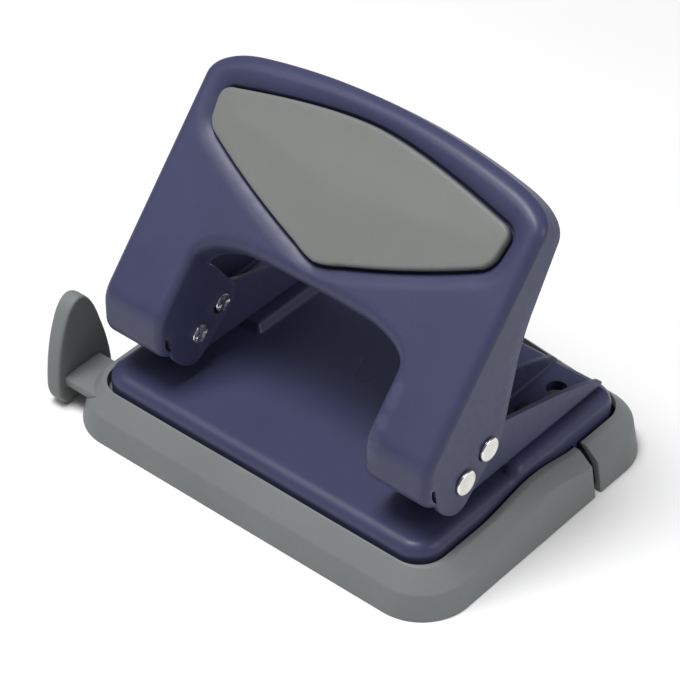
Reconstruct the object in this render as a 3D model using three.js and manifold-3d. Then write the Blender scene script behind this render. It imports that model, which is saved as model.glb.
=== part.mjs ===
// Two-hole desk paper punch, built as separate parts. Millimetres, +Z up.
// +X runs along the width, +Y to the back; the origin is the middle of the tray's underside.
import * as THREE from 'three';
import { mergeVertices } from 'three/addons/utils/BufferGeometryUtils.js';
import Module from 'manifold-3d';

const wasm = await Module();
wasm.setup();

// ---------- driving dimensions ----------
const HOLE_X = 40; // half of the standard 80 mm hole spacing
const PUNCH_Y = -13.8; // line of the two punch rods
const SHEET = 1.2; // steel sheet of the brackets and the lever
const SIDES = { left: -1, right: 1 };

// Moulded tray: floor, crease and inner lip of the wall
const TRAY = { halfX: 58, front: -44, back: 44, corner: 13.7 };
// The crease round the skirt; rear is how much higher it runs behind the sides.
const CREASE = { inset: 1.5, z: 6.9, rise: 5.2, rear: 1.9 };
const LIP = { inset: 6.6, z: 12, rise: 2.6, backRise: 4 };
const OPENING = { halfX: 51, front: -38, back: 39.2, corner: 7.3 };
const WALL = 1.8; // tray wall
const HUMP = { y: 1, half: 19 }; // where the side walls rise
const SPLIT_Y = 19.1; // slot between the chip tray and the rear shell
const SLOT = 2.2;
const WEB = { gap: 0.3, z: 0.8 }; // thin floor web that hinges

// Pressed base plate
const PLATE = { halfX: 50.2, front: -37.1, back: 38.3, corner: 7, z: 16, low: 9.6, wall: 1.4, edge: 3.2 };
const STEP = { height: 2.2, innerX: 29.8, front: -2.3, back: 34.5 }; // raised seats of the brackets
const DIE_R = 2.85;
const FIX_HOLE = { y: 25, r: 2.6 };

// U-shaped brackets
const BRACKET = { half: 7.4, bottom: 18.4, front: -27.2, back: 33.3 };
const RIVET = { ys: [2, 14], shankR: 1.6, headR: 3, headZ: 1.2 };
const PIVOT = { y: -22, z: 27.8, pinR: 1.7, headR: 3.2 };
const DRIVE = { y: PUNCH_Y, z: 32.27, pinR: 1.6, headR: 3.05 };
const STROKE = 5.7;

// Lever: front face plane through FACE.y, FACE.z, leaning back
const FACE = { y: -31.85, z: 43.3, lean: THREE.MathUtils.degToRad(41.1) };
const LEVER = { halfX: 49.5, armIn: 30.8, side: 51.5, crown: 64, corner: 9, rim: 8.6, foot: -2 };
// Foot of each arm: the front sheet turns upright at y, and curls in below curlZ
const FOOT = { y: -35.5, bend: 8, curlZ: 31.5, curl: 6, curlAngle: THREE.MathUtils.degToRad(65) };
const ARCH = { side: 11.5, top: 18.7, shoulder: 16.8, shoulderX: 24 };
const PAD = { halfTop: 42.3, top: 49.5, low: 41, halfLow: 41.6, vertex: 24.2, crown: 57.7 };
const PAD_OUT = 1.2; // how far the pad stands out of the face
const POCKET = 2; // depth of the pocket under the pad

// Punch rod, spring and clip
const ROD = { r: 2.75, low: 18.6, top: 36 };
const CLIP = { r: 4.2, z: 28.9, thick: 0.7 };
const SPRING = { meanR: 3.6, wire: 0.36, low: 19.75, turns: 4 };

// Paper guide: bar in the tray and fin outside it
const BAR = { front: -39.3, back: -26.7, low: 6.7, top: 9, inner: 46, channel: 48.5 };
const FIN = { face: -60, thick: 4.8, front: -41.4, back: -23.4, low: 0.8, top: 29.6 };
const CLEAR = 0.3;
const ROUND = 24; // facets of a cylinder

// ---------- materials ----------
const material = (color, roughness, metalness) =>
  new THREE.MeshStandardMaterial({ color, roughness, metalness });
const paint = () => material(0x4a4c74, 0.45, 0.2);
const greyPlastic = () => material(0x7c8080, 0.6, 0);
const padPlastic = () => material(0x767876, 0.75, 0);
const nickel = () => material(0xd8d8d4, 0.2, 1);
const springSteel = () => material(0x9a9a9c, 0.35, 1);

// ---------- solids ----------
const group = new THREE.Group();

function solid(geometry) {
  const g = geometry.clone();
  g.deleteAttribute('normal');
  g.deleteAttribute('uv');
  const merged = mergeVertices(g, 1e-4);
  return new wasm.Manifold(new wasm.Mesh({
    numProp: 3,
    vertProperties: merged.attributes.position.array,
    triVerts: new Uint32Array(merged.index.array),
  }));
}

function addMesh(name, body, look) {
  const m = body.getMesh();
  const g = new THREE.BufferGeometry();
  g.setAttribute('position', new THREE.BufferAttribute(m.vertProperties, 3));
  g.setIndex(new THREE.BufferAttribute(m.triVerts, 1));
  const flat = g.toNonIndexed();
  flat.computeVertexNormals();
  const mesh = new THREE.Mesh(flat, look);
  mesh.name = name;
  group.add(mesh);
}

function box(x0, x1, y0, y1, z0, z1) {
  const g = new THREE.BoxGeometry(x1 - x0, y1 - y0, z1 - z0);
  return solid(g.translate((x0 + x1) / 2, (y0 + y1) / 2, (z0 + z1) / 2));
}

function extrude(shape, low, high, basis) {
  const g = new THREE.ExtrudeGeometry(shape, { depth: high - low, bevelEnabled: false, curveSegments: 7 });
  return solid(g.translate(0, 0, low).applyMatrix4(basis));
}

// The shape's axes become Y and Z, and it is extruded along X.
const SIDE_BASIS = new THREE.Matrix4().makeBasis(
  new THREE.Vector3(0, 1, 0), new THREE.Vector3(0, 0, 1), new THREE.Vector3(1, 0, 0));
const prismX = (shape, x0, x1) => extrude(shape, x0, x1, SIDE_BASIS);

// The shape's axes become X and the up-slope of the lever's face; extruded outwards from the face.
const UP = new THREE.Vector3(0, Math.sin(FACE.lean), Math.cos(FACE.lean));
const OUT = new THREE.Vector3(0, -Math.cos(FACE.lean), Math.sin(FACE.lean));
const FACE_BASIS = new THREE.Matrix4()
  .makeBasis(new THREE.Vector3(1, 0, 0), UP, OUT)
  .setPosition(0, FACE.y, FACE.z);
const prismFace = (shape, low, high) => extrude(shape, low, high, FACE_BASIS);

function cylinderX(r, x0, x1, y, z) {
  const g = new THREE.CylinderGeometry(r, r, Math.abs(x1 - x0), ROUND);
  return solid(g.rotateZ(Math.PI / 2).translate((x0 + x1) / 2, y, z));
}

function cylinderZ(r, z0, z1, x, y) {
  const g = new THREE.CylinderGeometry(r, r, z1 - z0, ROUND);
  return solid(g.rotateX(Math.PI / 2).translate(x, y, (z0 + z1) / 2));
}

const polygon = (points) => new THREE.Shape(points.map(([a, b]) => new THREE.Vector2(a, b)));

// A slot with round ends between two centres.
function stadium(y0, z0, y1, z1, r) {
  const turn = Math.atan2(z1 - z0, y1 - y0);
  const shape = new THREE.Shape();
  shape.absarc(y1, z1, r, turn - Math.PI / 2, turn + Math.PI / 2);
  shape.absarc(y0, z0, r, turn + Math.PI / 2, turn + (3 * Math.PI) / 2);
  return shape;
}

// Rounded-rectangle ring, counter-clockwise from above; zOf gives the height at each point.
function ring({ halfX, front, back, corner }, zOf, sideSteps = 1) {
  const arcSteps = 6;
  const turns = [
    [halfX - corner, front + corner, -90], [halfX - corner, back - corner, 0],
    [corner - halfX, back - corner, 90], [corner - halfX, front + corner, 180],
  ];
  const arc = ([cx, cy, start]) => Array.from({ length: arcSteps + 1 }, (_, i) => {
    const a = THREE.MathUtils.degToRad(start + (90 * i) / arcSteps);
    return new THREE.Vector2(cx + corner * Math.cos(a), cy + corner * Math.sin(a));
  });
  const points = [];
  turns.forEach((turn, k) => {
    const here = arc(turn), next = arc(turns[(k + 1) % 4])[0];
    points.push(...here);
    const last = here[arcSteps];
    for (let i = 1; i < sideSteps; i++) points.push(last.clone().lerp(next, i / sideSteps));
  });
  return points.map((p) => new THREE.Vector3(p.x, p.y, zOf(p.x, p.y)));
}

// A closed solid through rings of equal count, from the lowest to the highest.
function loft(rings) {
  const n = rings[0].length;
  const index = [];
  for (let r = 0; r + 1 < rings.length; r++) {
    for (let i = 0; i < n; i++) {
      const a = r * n + i, b = r * n + ((i + 1) % n);
      index.push(a, b, b + n, a, b + n, a + n);
    }
  }
  const cap = THREE.ShapeUtils.triangulateShape(rings[0].map((p) => new THREE.Vector2(p.x, p.y)), []);
  const top = (rings.length - 1) * n;
  cap.forEach(([a, b, c]) => index.push(a, c, b, top + a, top + b, top + c));
  const g = new THREE.BufferGeometry().setFromPoints(rings.flat());
  g.setIndex(index);
  return solid(g);
}

const inset = (o, d) => ({
  halfX: o.halfX - d, front: o.front + d, back: o.back - d, corner: Math.max(o.corner - d, 1),
});
const level = (z) => () => z;

// ---------- tray and rear shell ----------
const sideHump = (y) => Math.cos((Math.PI / 2) * Math.min(1, Math.abs(y - HUMP.y) / HUMP.half)) ** 2;
const backHump = (x, y) => (y > 30 ? Math.cos((Math.PI / 2) * Math.min(1, Math.abs(x) / 50)) ** 2 : 0);
const creaseZ = (x, y) => CREASE.z + CREASE.rear * THREE.MathUtils.smoothstep(y, 2, 18)
  + CREASE.rise * sideHump(y) * (Math.abs(x) > 45 ? 1 : 0)
  + LIP.backRise * backHump(x, y);
const lipZ = (x, y) => LIP.z + LIP.rise * sideHump(y) * (Math.abs(x) > 45 ? 1 : 0)
  + LIP.backRise * backHump(x, y);
const lower = (f, d) => (x, y) => f(x, y) - d;

function trayShell() {
  const steps = 10;
  const outside = loft([
    ring(TRAY, level(0), steps),
    ring(inset(TRAY, CREASE.inset), creaseZ, steps),
    ring(inset(TRAY, LIP.inset - 0.6), lipZ, steps),
  ]);
  const inside = loft([
    ring(inset(TRAY, WALL), level(WALL), steps),
    ring(inset(TRAY, CREASE.inset + WALL), lower(creaseZ, 1.2), steps),
    ring(OPENING, lower(lipZ, WALL), steps),
    ring(OPENING, level(40), steps),
  ]);
  return outside.subtract(inside);
}

function guideRails() {
  const bottom = WALL - 0.2;
  const length = [-47, 47];
  const supports = [-37, -30].map((y) => box(...length, y, y + 1, bottom, BAR.low - 0.2));
  const back = box(...length, BAR.back + CLEAR, BAR.back + 1.5, bottom, BAR.top + 1.4);
  const hook = box(...length, BAR.back - 1.2, BAR.back + 1.5, BAR.top + 0.2, BAR.top + 1.4);
  return [...supports, back, hook];
}

function addTray() {
  const shell = trayShell();
  const web = [-45, 45];
  const front = shell.intersect(box(-70, 70, -60, SPLIT_Y - SLOT / 2, -1, 30))
    .add(box(...web, SPLIT_Y - SLOT, SPLIT_Y - WEB.gap / 2, 0, WEB.z));
  const back = shell.intersect(box(-70, 70, SPLIT_Y + SLOT / 2, 60, -1, 30))
    .add(box(...web, SPLIT_Y + WEB.gap / 2, SPLIT_Y + SLOT, 0, WEB.z));
  const barSlot = box(-70, BAR.channel, BAR.front - CLEAR, BAR.back + CLEAR, BAR.low - 0.2, BAR.top + 0.2);
  const tray = guideRails().reduce((body, rail) => body.add(rail), front).subtract(barSlot);
  addMesh('chip_tray', tray, greyPlastic());
  addMesh('rear_shell', back, greyPlastic());
}

// ---------- base plate ----------
function panBody(outline, low, top, edge, lift) {
  const steps = 3;
  const rings = [ring(outline, level(low))];
  for (let i = 0; i <= steps; i++) {
    const a = ((Math.PI / 2) * i) / steps;
    const z = top - edge * (1 - Math.sin(a)) + lift;
    rings.push(ring(inset(outline, edge * (1 - Math.cos(a))), level(z)));
  }
  return loft(rings);
}

function withSteps(outline, low, top, edge, shrink) {
  const raised = panBody(outline, low, top, edge, STEP.height);
  const seats = Object.values(SIDES).map((side) => {
    const inner = side * (STEP.innerX + shrink);
    const [x0, x1] = [inner, side * 70].sort((a, b) => a - b);
    return raised.intersect(box(x0, x1, STEP.front + shrink, STEP.back - shrink, low, 40));
  });
  return seats.reduce((body, seat) => body.add(seat), panBody(outline, low, top, edge, 0));
}

function addBasePlate() {
  const outside = withSteps(PLATE, PLATE.low, PLATE.z, PLATE.edge, 0);
  const inside = withSteps(inset(PLATE, PLATE.wall), PLATE.low - 1, PLATE.z - PLATE.wall,
    PLATE.edge - PLATE.wall, PLATE.wall);
  let plate = outside.subtract(inside);
  for (const side of Object.values(SIDES)) {
    plate = plate.subtract(cylinderZ(DIE_R, 0, 30, side * HOLE_X, PUNCH_Y));
    plate = plate.subtract(cylinderZ(FIX_HOLE.r, 0, 30, side * HOLE_X, FIX_HOLE.y));
    for (const y of RIVET.ys) {
      plate = plate.subtract(cylinderZ(RIVET.shankR + 0.15, 0, 30, side * HOLE_X, y));
    }
  }
  addMesh('base_plate', plate, paint());
}

// ---------- brackets and rivets ----------
function bracketSide() {
  const { front, bottom, back } = BRACKET;
  const shape = new THREE.Shape();
  shape.moveTo(front, bottom + 7);
  shape.quadraticCurveTo(front, bottom, front + 6, bottom);
  shape.lineTo(back - 2, bottom);
  shape.quadraticCurveTo(back + 0.4, bottom + 2, back - 2.8, bottom + 3.7);
  shape.quadraticCurveTo(back - 7, bottom + 6, 13, 28.5);
  shape.lineTo(-5.1, 33.5);
  shape.lineTo(-14, 36.4);
  shape.quadraticCurveTo(-21, 38, -25, 34.5);
  shape.quadraticCurveTo(front, 32, front, bottom + 7);
  return shape;
}

function addBracket(name, side) {
  const { half, bottom, front, back } = BRACKET;
  const centre = side * HOLE_X;
  const drop = STROKE + 0.3;
  let body = prismX(bracketSide(), centre - half, centre + half)
    .subtract(box(centre - half + SHEET, centre + half - SHEET, front - 1, back + 3, bottom + SHEET, 60))
    .subtract(cylinderX(PIVOT.pinR + 0.08, centre - 12, centre + 12, PIVOT.y, PIVOT.z))
    .subtract(prismX(stadium(DRIVE.y, DRIVE.z - drop, DRIVE.y, DRIVE.z + 0.1, DRIVE.pinR + 0.25),
      centre - 12, centre + 12))
    .subtract(cylinderZ(DIE_R, 0, 30, centre, PUNCH_Y))
    .subtract(cylinderZ(FIX_HOLE.r, 0, 30, centre, FIX_HOLE.y));
  for (const y of RIVET.ys) body = body.subtract(cylinderZ(RIVET.shankR + 0.15, 0, 30, centre, y));
  addMesh(`${name}_bracket`, body, paint());
}

function addRivets(name, side) {
  const floor = BRACKET.bottom + SHEET;
  const under = PLATE.z + STEP.height - PLATE.wall;
  RIVET.ys.forEach((y, i) => {
    const body = cylinderZ(RIVET.shankR, under - 1, floor + 0.5, side * HOLE_X, y)
      .add(cylinderZ(RIVET.headR, floor + 0.1, floor + 0.1 + RIVET.headZ, side * HOLE_X, y))
      .add(cylinderZ(RIVET.headR - 0.4, under - 1.1, under - 0.1, side * HOLE_X, y));
    addMesh(`${name}_rivet_${i + 1}`, body, paint());
  });
}

// ---------- lever ----------
// Outline of the handle in the plane of its face, drawn in by d.
function leverOutline(d) {
  const w = LEVER.halfX - d, inner = LEVER.armIn + d;
  const foot = LEVER.foot - 3 * d;
  const shoulder = LEVER.crown - 4 - d;
  const shape = new THREE.Shape();
  shape.moveTo(w, foot);
  shape.lineTo(w, LEVER.side);
  shape.quadraticCurveTo(w, shoulder - 0.9, w - LEVER.corner * 1.4, shoulder);
  shape.quadraticCurveTo(0, LEVER.crown + 4 - d, LEVER.corner * 1.4 - w, shoulder);
  shape.quadraticCurveTo(-w, shoulder - 0.9, -w, LEVER.side);
  shape.lineTo(-w, foot);
  shape.lineTo(-inner, foot);
  shape.lineTo(-inner, ARCH.side);
  shape.quadraticCurveTo(-inner, ARCH.shoulder + d, -ARCH.shoulderX, ARCH.shoulder + d);
  shape.quadraticCurveTo(0, 2 * ARCH.top - ARCH.shoulder + d, ARCH.shoulderX, ARCH.shoulder + d);
  shape.quadraticCurveTo(inner, ARCH.shoulder + d, inner, ARCH.side);
  shape.lineTo(inner, foot);
  return shape;
}

// Outline of the pad, grown by d.
function padOutline(d) {
  const shape = new THREE.Shape();
  shape.moveTo(0, PAD.vertex - 1.2 * d);
  shape.quadraticCurveTo(22, PAD.vertex + 5.5 - 1.1 * d, PAD.halfLow - 1.6 + d, PAD.low - d);
  shape.quadraticCurveTo(PAD.halfLow + 0.8 + d, PAD.low + 1.6, PAD.halfTop + d, PAD.top - 1);
  shape.quadraticCurveTo(PAD.halfTop + d, PAD.top + 1.4 + d, PAD.halfTop - 3, PAD.top + 1.6 + d);
  shape.quadraticCurveTo(0, 2 * PAD.crown - PAD.top - 1.6 + d, 3 - PAD.halfTop, PAD.top + 1.6 + d);
  shape.quadraticCurveTo(-PAD.halfTop - d, PAD.top + 1.4 + d, -PAD.halfTop - d, PAD.top - 1);
  shape.quadraticCurveTo(-PAD.halfLow - 0.8 - d, PAD.low + 1.6, 1.6 - PAD.halfLow - d, PAD.low - d);
  shape.quadraticCurveTo(-22, PAD.vertex + 5.5 - 1.1 * d, 0, PAD.vertex - 1.2 * d);
  return shape;
}

// A point of the lever's front: s up the face and depth behind it.
const facePoint = (s, depth) => [
  FACE.y + s * Math.sin(FACE.lean) + depth * Math.cos(FACE.lean),
  FACE.z + s * Math.cos(FACE.lean) - depth * Math.sin(FACE.lean),
];

const arcPoints = (y, z, r, from, to, steps) => Array.from({ length: steps + 1 }, (_, i) => {
  const a = from + ((to - from) * i) / steps;
  return [y - r * Math.cos(a), z + r * Math.sin(a)];
});

// Side view of an arm's front, depth behind its outer surface, from the face down to the curled end.
function frontLine(depth) {
  const tangent = FOOT.bend * Math.tan(FACE.lean / 2);
  const s = (FOOT.y - FACE.y) / Math.sin(FACE.lean);
  const upright = FACE.z + s * Math.cos(FACE.lean) - tangent;
  return [
    facePoint(s + tangent + 2, depth),
    ...arcPoints(FOOT.y + FOOT.bend, upright, FOOT.bend - depth, FACE.lean, 0, 4),
    ...arcPoints(FOOT.y + FOOT.curl, FOOT.curlZ, FOOT.curl - depth, 0, -FOOT.curlAngle, 4),
  ];
}

const armFront = () => polygon([...frontLine(0), ...frontLine(SHEET).reverse()]);

// The ears stand back from the front sheet at the foot, below the notch.
function earFront(top) {
  const foot = [[-32.1, 32], [-31.9, 28.5], [-30.9, 24]];
  return [facePoint(top, 0.3), ...frontLine(0.3).slice(1, 7), ...foot];
}

function outerEar() {
  const shape = polygon(earFront(46));
  shape.quadraticCurveTo(-26, 18.6, -19.8, 22.2);
  shape.lineTo(-12.5, 28.6);
  shape.quadraticCurveTo(-8.2, 32.6, -7.8, 36.2);
  shape.lineTo(-4.7, 49);
  shape.quadraticCurveTo(-2.9, 57.5, 1.8, 65);
  shape.lineTo(...facePoint(48, LEVER.rim - 0.3));
  return shape;
}

function innerEar() {
  const shape = polygon(earFront(11));
  shape.quadraticCurveTo(-26, 18.6, -19.8, 22.2);
  shape.lineTo(-12.5, 28.6);
  shape.quadraticCurveTo(-8.6, 31.6, -9.2, 35.2);
  shape.quadraticCurveTo(-13, 40, -16.5, 46.5);
  return shape;
}

function armParts(side) {
  const span = (a, b) => [side * a, side * b].sort((p, q) => p - q);
  const [x0, x1] = span(LEVER.armIn, LEVER.halfX);
  return [
    prismX(armFront(), x0, x1),
    prismX(outerEar(), ...span(LEVER.halfX - SHEET, LEVER.halfX)),
    prismX(innerEar(), ...span(LEVER.armIn, LEVER.armIn + SHEET)),
  ];
}

function pinHoles() {
  const reach = new THREE.Vector2(DRIVE.y - PIVOT.y, DRIVE.z - PIVOT.z);
  const pivot = new THREE.Vector2(PIVOT.y, PIVOT.z);
  const near = reach.clone().setLength(DRIVE.y - PIVOT.y - 0.2).add(pivot);
  const far = reach.clone().setLength(reach.length() + 0.2).add(pivot);
  const slot = stadium(near.x, near.y, far.x, far.y, DRIVE.pinR + 0.35);
  return [
    cylinderX(PIVOT.pinR + 0.09, -60, 60, PIVOT.y, PIVOT.z),
    prismX(slot, -60, 60),
  ];
}

function addLever() {
  const shell = prismFace(leverOutline(0), -LEVER.rim, 0)
    .subtract(prismFace(leverOutline(SHEET), -LEVER.rim - 5, -SHEET));
  const arms = [...armParts(SIDES.left), ...armParts(SIDES.right)];
  const pocket = prismFace(padOutline(0.5 + SHEET), -POCKET - SHEET, 0);
  let body = arms.reduce((all, part) => all.add(part), shell).add(pocket)
    .subtract(prismFace(padOutline(0.5), -POCKET, 5));
  for (const hole of pinHoles()) body = body.subtract(hole);
  addMesh('lever_handle', body, paint());
  addMesh('handle_pad', prismFace(padOutline(0), -POCKET + CLEAR, PAD_OUT), padPlastic());
}

// ---------- pins, rods, clips and springs ----------
function crossPin(side, { y, z, pinR, headR }) {
  const outer = side * (LEVER.halfX + 0.2), inner = side * (LEVER.armIn - 0.2);
  return cylinderX(pinR, outer + side * 0.5, inner - side * 0.6, y, z)
    .add(cylinderX(headR, outer, outer + side * 1.1, y, z))
    .add(cylinderX(pinR + 0.6, inner, inner - side * 0.7, y, z));
}

function addPunch(name, side) {
  const x = side * HOLE_X;
  const wedge = [[PUNCH_Y - 4, ROD.low - 1], [PUNCH_Y + 4, ROD.low - 1], [PUNCH_Y, ROD.low + 1.3]];
  const notch = prismX(polygon(wedge), x - 4, x + 4);
  const rod = cylinderZ(ROD.r, ROD.low, ROD.top, x, PUNCH_Y)
    .subtract(cylinderX(DRIVE.pinR + 0.06, x - 5, x + 5, DRIVE.y, DRIVE.z))
    .subtract(notch);
  addMesh(`${name}_punch_rod`, rod, nickel());
  const clip = cylinderZ(CLIP.r, CLIP.z, CLIP.z + CLIP.thick, x, PUNCH_Y)
    .subtract(cylinderZ(ROD.r + 0.1, CLIP.z - 1, CLIP.z + 2, x, PUNCH_Y));
  addMesh(`${name}_spring_clip`, clip, springSteel());
  addMesh(`${name}_drive_pin`, crossPin(side, DRIVE), nickel());
  addMesh(`${name}_pivot_pin`, crossPin(side, PIVOT), nickel());
}

class Helix extends THREE.Curve {
  constructor(radius, low, high, turns, x, y) {
    super();
    Object.assign(this, { radius, low, high, turns, x, y });
  }
  getPoint(t, target = new THREE.Vector3()) {
    const a = 2 * Math.PI * this.turns * t;
    return target.set(this.x + this.radius * Math.cos(a), this.y + this.radius * Math.sin(a),
      this.low + (this.high - this.low) * t);
  }
}

function addSpring(name, side) {
  const low = SPRING.low + SPRING.wire, high = CLIP.z - 0.15 - SPRING.wire;
  const path = new Helix(SPRING.meanR, low, high, SPRING.turns, side * HOLE_X, PUNCH_Y);
  const wire = new THREE.Shape().absarc(0, 0, SPRING.wire, 0, 2 * Math.PI);
  const sweep = { steps: SPRING.turns * 12, extrudePath: path, curveSegments: 3 };
  const g = new THREE.ExtrudeGeometry(wire, sweep);
  addMesh(`${name}_spring`, solid(g), springSteel());
}

// ---------- paper guide ----------
function finSide() {
  const { front, back, low, top } = FIN;
  const shape = new THREE.Shape();
  shape.moveTo(front + 2.4, low);
  shape.quadraticCurveTo(front, low + 2, front, low + 6);
  shape.bezierCurveTo(front + 0.6, 20, front + 4, top, -32, top);
  shape.bezierCurveTo(back - 4.5, top - 0.6, back, 14, back, low + 4);
  shape.quadraticCurveTo(back, low, back - 3, low);
  return shape;
}

function addPaperGuide() {
  const fin = prismX(finSide(), FIN.face - FIN.thick, FIN.face);
  const bar = box(FIN.face - 1, BAR.inner, BAR.front, BAR.back, BAR.low, BAR.top);
  addMesh('paper_guide', fin.add(bar), greyPlastic());
}

// ---------- assembly ----------
addTray();
addBasePlate();
addLever();
for (const [name, side] of Object.entries(SIDES)) {
  addBracket(name, side);
  addRivets(name, side);
  addPunch(name, side);
  addSpring(name, side);
}
addPaperGuide();

export default group;
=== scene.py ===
"""Two-hole desk paper punch: detailed pieces, materials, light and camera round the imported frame."""
import math

import bmesh
import bpy
import numpy as np
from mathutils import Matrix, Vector
from mathutils.geometry import delaunay_2d_cdt


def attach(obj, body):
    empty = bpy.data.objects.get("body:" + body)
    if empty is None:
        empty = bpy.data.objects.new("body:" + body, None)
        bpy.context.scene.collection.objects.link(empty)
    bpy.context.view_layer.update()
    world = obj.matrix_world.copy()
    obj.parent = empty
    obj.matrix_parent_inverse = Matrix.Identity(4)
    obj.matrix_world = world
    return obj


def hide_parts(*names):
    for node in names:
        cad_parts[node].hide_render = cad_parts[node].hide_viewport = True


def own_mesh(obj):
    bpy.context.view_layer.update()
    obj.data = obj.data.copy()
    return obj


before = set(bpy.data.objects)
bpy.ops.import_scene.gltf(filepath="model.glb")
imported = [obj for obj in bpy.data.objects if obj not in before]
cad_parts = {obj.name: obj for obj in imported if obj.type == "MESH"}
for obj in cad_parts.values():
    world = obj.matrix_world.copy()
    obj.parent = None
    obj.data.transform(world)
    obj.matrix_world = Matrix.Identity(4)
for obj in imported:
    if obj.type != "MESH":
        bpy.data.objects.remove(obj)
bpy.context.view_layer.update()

MM = 0.001
SIDES = {"left": -1, "right": 1}

# ---------- driving dimensions, in millimetres ----------
HOLE_X = 40
PUNCH_Y = -13.8
SHEET = 1.2
TRAY = dict(half_x=58, front=-44, back=44, corner=13.7)
# The crease round the tray's sides; rise lifts it at the middle of each side, rear behind them.
CREASE = dict(inset=1.5, z=6.9, rise=5.2, rear=1.9)
LIP = dict(z=12, rise=2.6, back_rise=4)
# The lip's outer edge, and the opening inside it.
LIP_EDGE = dict(half_x=52.7, front=-38.4, back=39.2, corner=8.2)
OPENING = dict(half_x=51, front=-38, back=39.2, corner=7.3)
TRAY_WALL = 1.8
SPLIT_Y, SLOT = 19.1, 2.2  # the slot between the tray and the rear shell
PLATE = dict(half_x=50.2, front=-37.1, back=38.3, corner=7)
PLATE_Z, PLATE_LOW, PLATE_EDGE, PLATE_SHEET = 16, 9.6, 3.2, 1.4
# The two raised seats of the brackets.
STEP = dict(height=2.2, inner_x=29.8, front=-2.3, back=34.5, soft=1.7)
FIX_HOLE = dict(y=25, r=2.6)
BRACKET = dict(half=7.4, bottom=18.4, front=-27.2, back=33.3, bend=2)
RIVET_YS = (2, 14)
PIVOT = dict(y=-22, z=27.8, pin_r=1.7, head_r=3.2)
DRIVE = dict(y=PUNCH_Y, z=32.27, pin_r=1.6, head_r=3.05)
STROKE = 5.7
FACE_Y, FACE_Z, LEAN = -31.85, 43.3, math.radians(41.1)  # a point of the lever's face, and its lean
LEVER = dict(half_x=49.5, arm_in=30.8, side=51.5, crown=64, rim=8.6)
SHOULDER = dict(inset=13, drop=3.35, slope=0.19)  # where the crown's line meets its corner
FOLD, CROWN_FOLD = 2.3, 3.4  # radius of the sheet's outer bends, at the arms and over the crown
ARM_FOLD, ARCH_FOLD = 2.2, 3.2  # and of the opening's, beside the arms and over the arch
FOLD_GROWTH, ARCH_FOLD_GROWTH = 7, 6  # height over which each radius grows
ARCH = dict(side=11.5, top=18.6, knee=15.6, shoulder=17.8, shoulder_x=20.5)
FOOT = dict(y=-35.5, bend=8, curl_z=31.5, curl=6, curl_angle=math.radians(65))
NOTCH_Z = 32.7  # below this the ears are cut free of the front sheet
EAR_FRONT = 2.9  # how far the ears then stand behind the foot
TAB_TURN = math.radians(80)  # how far the tab's sides still bend round below the notch
PAD = dict(half_top=42.3, top=49.5, low=41, half_low=41.6, vertex=24.2, crown=57.7)
PAD_RIM, PAD_ROOT = 1.0, 1.65  # the pad's rim above the lever's face, and its underside behind the face
PAD_SWELL, PAD_SWELL_WIDTH = 0.55, 16  # how much higher its middle is, and the width of that slope
DISH = dict(width=5, depth=1.35, pocket=2.3)  # the hollow round the pad, and the pocket under it
ROD = dict(r=2.75, low=18.6, top=36)
CLIP = dict(r=4.2, z=28.9, thick=0.7)
SPRING = dict(mean_r=3.6, wire=0.36, low=19.75, turns=4)
BAR = dict(front=-39.3, back=-26.7, low=6.7, top=9, inner=46, channel=48.5)
FIN = dict(face=-60, thick=4.8, front=-41.5, back=-22.9, low=0.6, top=29.9)


# ---------- plane curves ----------
class Outline:
    """Points along a path of lines and curves in a plane."""

    def __init__(self, *start):
        self.points = [np.array(start, float)]

    def line(self, *end):
        self.points.append(np.array(end, float))
        return self

    def curve(self, cx, cy, *end, steps=16):
        a, b, c = self.points[-1], np.array((cx, cy), float), np.array(end, float)
        for t in np.linspace(0, 1, steps + 1)[1:]:
            self.points.append((1 - t) ** 2 * a + 2 * t * (1 - t) * b + t * t * c)
        return self

    def array(self):
        return np.array(self.points)


def mirrored(points):
    """The points, then their mirror images in reverse order, for a figure symmetrical about x = 0."""
    return np.vstack([points, points[::-1] * (-1, 1)])


def densify(points, spacing, closed=True):
    """Adds points on the segments that are longer than the spacing."""
    ends = np.vstack([points, points[:1]]) if closed else points
    made = []
    for a, b in zip(ends[:-1], ends[1:]):
        count = max(1, math.ceil(np.linalg.norm(b - a) / spacing - 1e-6))
        made += [a + (b - a) * i / count for i in range(count)]
    if not closed:
        made.append(ends[-1])
    return np.array(made)


def even(points, spacing, closed=True):
    """Points at even distances along a smooth path."""
    ends = np.vstack([points, points[:1]]) if closed else points
    along = np.r_[0, np.cumsum(np.linalg.norm(np.diff(ends, axis=0), axis=1))]
    count = max(3, round(along[-1] / spacing))
    at = np.linspace(0, along[-1], count + 1)
    if closed:
        at = at[:-1]
    return np.column_stack([np.interp(at, along, ends[:, k]) for k in range(ends.shape[1])])


def normals(points, closed=True):
    """Unit normals to the left of the path's direction."""
    if closed:
        run = np.roll(points, -1, axis=0) - np.roll(points, 1, axis=0)
    else:
        run = np.gradient(points, axis=0)
    run /= np.linalg.norm(run, axis=1)[:, None]
    return np.column_stack([-run[:, 1], run[:, 0]])


def circle(x, y, r, count=28):
    turn = np.linspace(0, 2 * math.pi, count, endpoint=False)
    return np.column_stack([x + r * np.cos(turn), y + r * np.sin(turn)])


def stadium(y0, z0, y1, z1, r, count=12):
    """A slot with round ends."""
    turn = math.atan2(z1 - z0, y1 - y0)
    half = np.linspace(-math.pi / 2, math.pi / 2, count)
    far = np.column_stack([y1 + r * np.cos(turn + half), z1 + r * np.sin(turn + half)])
    near = np.column_stack([y0 - r * np.cos(turn + half), z0 - r * np.sin(turn + half)])
    return np.vstack([far, near])


def smooth(t):
    t = np.clip(t, 0, 1)
    return t * t * (3 - 2 * t)


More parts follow.
